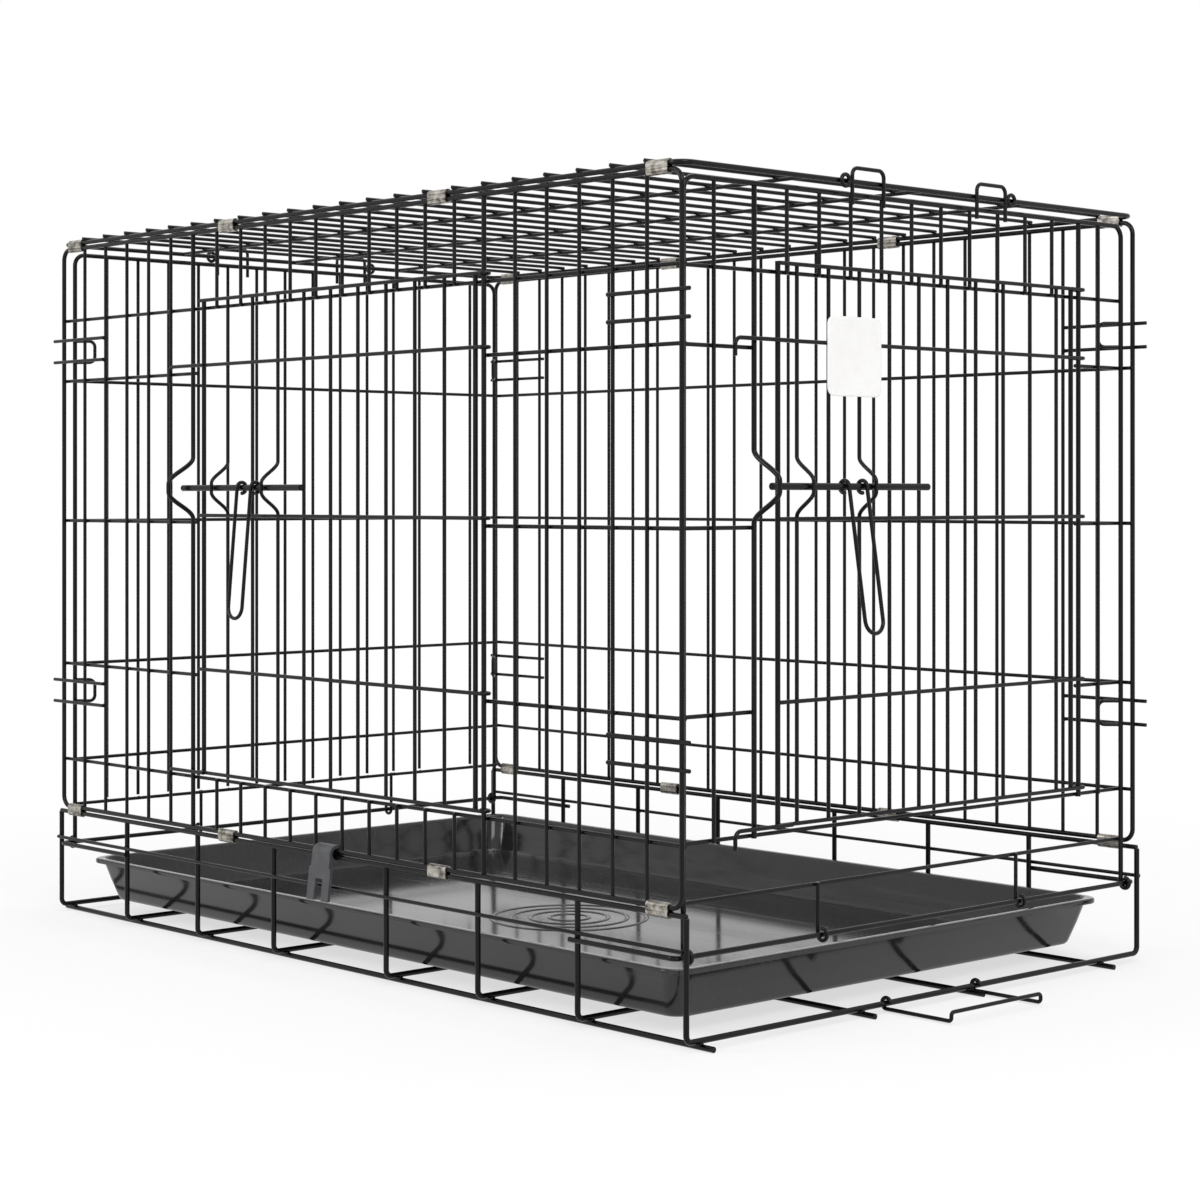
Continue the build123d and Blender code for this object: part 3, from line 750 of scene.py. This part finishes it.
@dataclass
class BoltWires:
    """The bent wires round the sliding bolts: door guides, keepers and U handles."""

    rod_out: float = 12.0
    rod_height: float = 359.0
    mesh_radius: float = 1.4
    frame_radius: float = 1.8
    nose_half: float = 3.5
    eye: float = 4.2
    eye_turn: float = 270.0
    handle_length: float = 100.0
    handle_span: float = 18.0
    door_ends: tuple[float, float] = (134.1, 507.9)
    guide_outs: tuple[float, float] = (0.88, 16.2)
    guide_half: float = 20.0
    front_guides_u: tuple[float, float] = (128.0, 65.778)
    side_guides_u: tuple[float, float] = (129.465, 62.857)
    keeper_outs: tuple[float, float] = (0.0, 23.0)
    keeper_half: float = 24.0
    front_keeper_u: float = 168.0
    front_keeper_ends: tuple[float, float] = (128.6, 555.68)
    side_keeper_u: float = 178.965
    side_keeper_ends: tuple[float, float] = (92.12, 559.28)
    front_handle_u: float = 93.2
    front_lean: float = 9.0
    side_handle_u: float = 94.665
    side_lean: float = 5.0
    bulge_steps: int = 14
    eye_steps: int = 22
    bend_steps: int = 16

    def bulge(self, wall: Wall, u: float, ends: tuple[float, float],
              outs: tuple[float, float], half: float) -> list[Vector]:
        """Return the line of an upright wire that bends out round the rod in two smooth S curves.

        Args:
            wall: The wall that the wire stands in.
            u: Where it stands along the wall.
            ends: The heights of its lower and upper end.
            outs: How far out it is when straight, and at the nose.
            half: Half the height of the bulge.

        Returns:
            The points of its middle line.
        """
        line = [wall.at(u, outs[0], ends[0])]
        reach = half - self.nose_half
        offsets = [-half + reach * i / self.bulge_steps for i in range(self.bulge_steps + 1)]
        for offset in offsets + [-offset for offset in reversed(offsets)]:
            share = (half - abs(offset)) / reach
            share = share * share * (3 - 2 * share)
            out = outs[0] + (outs[1] - outs[0]) * share
            line.append(wall.at(u, out, self.rod_height + offset))
        return line + [wall.at(u, outs[0], ends[1])]

    def handle(self, wall: Wall, u: float, lean: float) -> list[Vector]:
        """Return the line of a handle: an eye round the rod, a leg, a round end, a leg and an eye.

        Args:
            wall: The wall of its door.
            u: Where its first leg is along the wall.
            lean: How far it hangs out from the wall, in degrees.

        Returns:
            The points of its middle line.
        """
        angle = math.radians(lean)
        out_step = (math.cos(angle), math.sin(angle))
        up_step = (-math.sin(angle), math.cos(angle))

        def place(along: float, out: float, up: float) -> Vector:
            """Return a point given from the rod in the handle's own leaning directions."""
            return wall.at(along, self.rod_out + out * out_step[0] + up * up_step[0],
                           self.rod_height + out * out_step[1] + up * up_step[1])

        turns = [math.radians(self.eye_turn * i / self.eye_steps)
                 for i in range(self.eye_steps + 1)]
        loop = [(self.eye * math.cos(turn), self.eye * math.sin(turn)) for turn in turns]
        half = self.handle_span / 2
        line = [place(u, out, up) for out, up in reversed(loop)]
        for i in range(self.bend_steps + 1):
            turn = math.pi * i / self.bend_steps
            along = u - half + half * math.cos(turn)
            drop = self.handle_length - half + half * math.sin(turn)
            line.append(place(along, self.eye, -drop))
        return line + [place(u - self.handle_span, out, up) for out, up in loop]

    def piece(self, name: str, node: str, body: str, lines: list[list[Vector]],
              radius: float, palette: Palette) -> bpy.types.Object:
        """Skin some wires, put them in the place of a CAD node and return the piece.

        Args:
            name: The piece's name.
            node: The CAD node that it replaces.
            body: The body that it rides on.
            lines: The middle line of each wire.
            radius: The wires' radius in millimetres.
            palette: The finishes.

        Returns:
            The piece.
        """
        builder = bmesh.new()
        for line in lines:
            tube(builder, line, radius * MM)
        made = new_object(name, closed_mesh(name, builder, 50.0))
        palette.paint(made, Finish.WIRE)
        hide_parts(node)
        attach(made, body)
        return made

    def make(self, palette: Palette, front: Wall, near: Wall) -> list[bpy.types.Object]:
        """Build the six pieces.

        Args:
            palette: The finishes.
            front: The front wall.
            near: The near wall.

        Returns:
            The pieces.
        """
        guide = (self.door_ends, self.guide_outs, self.guide_half)
        front_guides = [self.bulge(front, u, *guide) for u in self.front_guides_u]
        side_guides = [self.bulge(near, u, *guide) for u in self.side_guides_u]
        front_keeper = self.bulge(front, self.front_keeper_u, self.front_keeper_ends,
                                  self.keeper_outs, self.keeper_half)
        side_keeper = self.bulge(near, self.side_keeper_u, self.side_keeper_ends,
                                 self.keeper_outs, self.keeper_half)
        front_handle = self.handle(front, self.front_handle_u, self.front_lean)
        side_handle = self.handle(near, self.side_handle_u, self.side_lean)
        thin, thick = self.mesh_radius, self.frame_radius
        rows = (
            ("front_guide_wires", "front_bolt_guides", "front_door", front_guides, thin),
            ("side_guide_wires", "side_bolt_guides", "side_door", side_guides, thin),
            ("front_keeper_wire", "front_door_keeper", "front_end", [front_keeper], thick),
            ("side_keeper_wire", "side_door_keeper", "crate", [side_keeper], thick),
            ("front_u_handle", "front_bolt_handle", "front_handle", [front_handle], thin),
            ("side_u_handle", "side_bolt_handle", "side_handle", [side_handle], thin),
        )
        return [self.piece(*row, palette) for row in rows]


@dataclass
class Tray:
    """The moulded tray: sloping walls, a round-edged rim with a small lip, and raised rings."""

    half_x: float = 356.3
    half_y: float = 227.0
    corner: float = 16.0
    corner_taper: float = 0.25
    corner_steps: int = 10
    bottom: float = 11.62
    floor: float = 13.62
    rim: float = 47.0
    runner_depth: float = 3.4
    runner_half: tuple[float, float] = (306.3, 6.0)
    runner_y: float = 140.0
    runner_corner: float = 4.0
    runner_steps: int = 6
    ring_first: float = 16.0
    ring_gap: float = 15.5
    ring_count: int = 4
    ring_height: float = 0.8
    ring_width: float = 3.6
    ring_steps: int = 72
    ring_sides: int = 10

    def profile(self) -> list[tuple[float, float]]:
        """Return the wall's section from the floor's top, over the rim, to the underside.

        Returns:
            Pairs of the distance in from the rim's outline and the height, in millimetres.
        """
        inside = [(24.0, self.floor), (21.5, self.floor + 0.1), (19.4, self.floor + 0.6),
                  (18.0, self.floor + 1.6), (17.1, self.floor + 3.2), (12.0, 30.0), (7.5, 44.6),
                  (7.0, 45.8), (6.3, 46.6), (5.2, self.rim)]
        lip = [(1.2, self.rim), (0.5, 46.8), (0.1, 46.3), (0.0, 45.5), (0.0, 43.9), (0.3, 43.4),
               (0.9, 43.3), (1.3, 43.8), (1.5, 44.7), (2.0, 45.0), (4.5, 45.0)]
        outside = [(5.1, 44.6), (5.6, 43.4), (10.2, 28.4), (14.8, 15.2), (15.6, 13.5), (16.8, 12.2),
                   (18.6, 11.7), (21.0, self.bottom)]
        return inside + lip + outside

    def shell(self) -> bpy.types.Mesh:
        """Return the tray's mesh with its two runners."""
        builder = bmesh.new()
        loops = []
        for inset, z in self.profile():
            radius = self.corner - inset * self.corner_taper
            ring = rounded_loop(self.half_x - inset, self.half_y - inset, radius,
                                self.corner_steps)
            loops.append([Vector((x, y, z)) * MM for x, y in ring])
        lofted(builder, loops)
        long, wide = self.runner_half
        section = ((0.0, -0.2), (0.0, 2.6), (0.3, 3.2), (1.0, self.runner_depth))
        for middle in (-self.runner_y, self.runner_y):
            rows = []
            for inset, drop in section:
                ring = rounded_loop(long - inset, wide - inset, self.runner_corner - inset,
                                    self.runner_steps)
                rows.append([Vector((x, y + middle, self.bottom - drop)) * MM for x, y in ring])
            lofted(builder, rows)
        return closed_mesh("tray_shell", builder, 35.0)

    def rings(self, material: bpy.types.Material) -> bpy.types.Object:
        """Return the concentric raised rings on the tray's floor."""
        tree = Tree("tray_ring_tree", {
            "Rings": self.ring_count, "First Radius": self.ring_first * MM,
            "Ring Gap": self.ring_gap * MM, "Half Width": self.ring_width / 2 * MM,
            "Flatness": self.ring_height / self.ring_width * 2, "Floor Height": self.floor * MM,
        })
        places = tree.node("GeometryNodeMeshLine", {"mode": "OFFSET"},
                           {"Count": tree.size("Rings"), "Offset": (0.0, 0.0, 0.0)})
        index = tree.node("GeometryNodeInputIndex")
        grow = tree.node("ShaderNodeMath", {"operation": "MULTIPLY_ADD"},
                         {0: index.outputs[0], 1: tree.size("Ring Gap"),
                          2: tree.size("First Radius")})
        circle = tree.node("GeometryNodeCurvePrimitiveCircle", None,
                           {"Resolution": self.ring_steps, "Radius": 1.0})
        many = tree.node("GeometryNodeInstanceOnPoints", None,
                         {"Points": places.outputs[0], "Instance": circle.outputs[0],
                          "Scale": grow.outputs[0]})
        real = tree.node("GeometryNodeRealizeInstances", None, {0: many.outputs[0]})
        section = tree.node("GeometryNodeCurvePrimitiveCircle", None,
                            {"Resolution": self.ring_sides, "Radius": tree.size("Half Width")})
        swept = tree.node("GeometryNodeCurveToMesh", None,
                          {"Curve": real.outputs[0], "Profile Curve": section.outputs[0]})
        squash = tree.node("ShaderNodeCombineXYZ", None,
                           {"X": 1.0, "Y": 1.0, "Z": tree.size("Flatness")})
        rise = tree.node("ShaderNodeCombineXYZ", None,
                         {"X": 0.0, "Y": 0.0, "Z": tree.size("Floor Height")})
        flat = tree.node("GeometryNodeTransform", None,
                         {"Geometry": swept.outputs[0], "Scale": squash.outputs[0],
                          "Translation": rise.outputs[0]})
        smooth = tree.node("GeometryNodeSetShadeSmooth", None, {"Geometry": flat.outputs[0]})
        holder = new_object("tray_ring_holder", bpy.data.meshes.new("tray_ring_holder"))
        return tree.bake(smooth.outputs[0], holder, material, "tray_floor_rings")

    def make(self, palette: Palette) -> list[bpy.types.Object]:
        """Build the tray and its rings, put them on the tray's body and return them."""
        shell = new_object("moulded_tray", self.shell())
        palette.paint(shell, Finish.TRAY)
        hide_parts("tray")
        rings = self.rings(palette.made[Finish.TRAY])
        for piece in (shell, rings):
            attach(piece, "tray")
        return [shell, rings]


@dataclass
class Plate:
    """The blank plate on the front door: a sheet with round corners and pressed-over edges."""

    corner: float = 6.0
    corner_steps: int = 8
    edge: float = 0.55

    def make(self, palette: Palette) -> bpy.types.Object:
        """Build the plate inside its CAD node's box, put it on the door and return it."""
        low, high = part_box("name_plate")
        middle, half = (low + high) / 2, (high - low) / 2
        builder = bmesh.new()
        edge = self.edge * MM
        section = ((edge, -1.0), (edge * 0.3, -0.72), (0.0, -0.35), (0.0, 0.25),
                   (edge * 0.3, 0.72), (edge, 1.0), (edge * 3.5, 1.0), (edge * 4.6, 0.8))
        rows = []
        for inset, out in section:
            ring = rounded_loop(half.y - inset, half.z - inset, self.corner * MM - inset,
                                self.corner_steps)
            rows.append([middle + Vector((out * half.x, y, z)) for y, z in ring])
        lofted(builder, rows)
        plate = new_object("door_plate", closed_mesh("door_plate", builder, 40.0))
        palette.paint(plate, Finish.PLATE)
        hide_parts("name_plate")
        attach(plate, "front_door")
        return plate


@dataclass
class Studio:
    """White floor, white surround, soft lamps and the camera at the photograph's viewpoint."""

    eye: tuple[float, float, float] = (1.538, -1.381, 0.3525)
    forward: tuple[float, float, float] = (-0.736, 0.677, 0.0)
    lens: float = 77.07
    sensor: float = 36.0
    shift_y: float = -0.0864
    view_reach: float = 100.0
    floor_size: float = 30.0
    floor_grey: float = 0.92
    shadow_from: float = 0.45
    shadow_to: float = 1.15
    near_white: float = 0.66
    surround: float = 0.55
    aim: tuple[float, float, float] = (0.0, 0.0, 0.25)
    lamps: tuple[tuple, ...] = (("key_lamp", (2.6, -1.2, 2.2), 1.5, 36.0),
                                ("left_lamp", (-1.2, -3.0, 1.8), 1.2, 34.0),
                                ("top_lamp", (0.0, 0.6, 3.0), 2.0, 30.0))

    def camera(self) -> None:
        """Create the camera."""
        data = bpy.data.cameras.new("viewpoint")
        data.lens = self.lens
        data.sensor_width = self.sensor
        data.shift_y = self.shift_y
        data.clip_end = self.view_reach
        made = bpy.data.objects.new("viewpoint", data)
        made.location = self.eye
        made.rotation_euler = Vector(self.forward).to_track_quat("-Z", "Y").to_euler()
        bpy.context.scene.collection.objects.link(made)
        bpy.context.scene.camera = made

    def lamp(self, name: str, place: tuple, size: float, power: float) -> None:
        """Create a square lamp aimed at the crate.

        Args:
            name: The lamp's name.
            place: Where it hangs.
            size: The side of its square.
            power: Its power in watts.
        """
        data = bpy.data.lights.new(name, "AREA")
        data.size = size
        data.energy = power
        made = bpy.data.objects.new(name, data)
        made.location = place
        toward = Vector(self.aim) - Vector(place)
        made.rotation_euler = toward.to_track_quat("-Z", "Y").to_euler()
        bpy.context.scene.collection.objects.link(made)

    @staticmethod
    def seen(shade: Shade) -> Signal:
        """Return 1 on the rays of the camera, of reflections and of glass, and 0 on others."""
        path = shade.tree.nodes.new("ShaderNodeLightPath")
        camera, glossy, glass = (Signal(shade, path.outputs[f"Is {ray} Ray"])
                                 for ray in ("Camera", "Glossy", "Transmission"))
        return camera + glossy + glass

    def floor(self) -> None:
        """Create the floor, white to the camera and to reflections but with the crate's shadow."""
        half = self.floor_size / 2
        corners = [(-half, -half, 0.0), (half, -half, 0.0), (half, half, 0.0), (-half, half, 0.0)]
        mesh = bpy.data.meshes.new("studio_floor")
        mesh.from_pydata(corners, [], [(0, 1, 2, 3)])
        made = new_object("studio_floor", mesh)
        shade = Shade(bpy.data.materials.new("studio_floor"))
        grey = self.floor_grey
        matt = shade.node("ShaderNodeBsdfDiffuse", None, {"Color": (grey, grey, grey, 1.0)})
        glow = shade.node("ShaderNodeEmission", None, {"Color": WHITE, "Strength": 1.0})
        away = shade.node("ShaderNodeVectorMath", {"operation": "LENGTH"}, {0: shade.place()},
                          output="Value")
        far = shade.node("ShaderNodeMapRange", {"interpolation_type": "SMOOTHSTEP"},
                         {"Value": away, "From Min": self.shadow_from,
                          "From Max": self.shadow_to, "To Min": self.near_white, "To Max": 1.0})
        share = self.seen(shade) * far
        shade.close(shade.node("ShaderNodeMixShader", None, {0: share, 1: matt, 2: glow}))
        mesh.materials.append(shade.owner)

    def surroundings(self) -> None:
        """Light the scene from a white world that the camera and reflections see as plain white."""
        world = bpy.data.worlds.new("studio")
        bpy.context.scene.world = world
        shade = Shade(world)
        strength = shade.node("ShaderNodeMapRange", None,
                              {"Value": self.seen(shade), "To Min": self.surround, "To Max": 1.0})
        sky = shade.node("ShaderNodeBackground", None, {"Color": WHITE, "Strength": strength})
        shade.close(sky, "ShaderNodeOutputWorld")

    def make(self) -> None:
        """Build the whole studio."""
        bpy.context.scene.view_settings.view_transform = "Standard"
        self.camera()
        self.floor()
        self.surroundings()
        for lamp in self.lamps:
            self.lamp(*lamp)


def main() -> None:
    """Load the frame, dress it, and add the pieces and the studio."""
    logging.basicConfig(level=logging.INFO, format="%(name)s: %(message)s")
    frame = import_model()
    palette = Palette()
    palette.dress_frame(frame)
    welds = Welds()
    front, _, near, _ = welds.walls()
    pieces = welds.make(palette) + BoltWires().make(palette, front, near)
    pieces += Tray().make(palette) + [Plate().make(palette)]
    for piece in pieces:
        LOG.info("%s: %d faces", piece.name, len(piece.data.polygons))
    Studio().make()


if __name__ == "__main__":
    main()
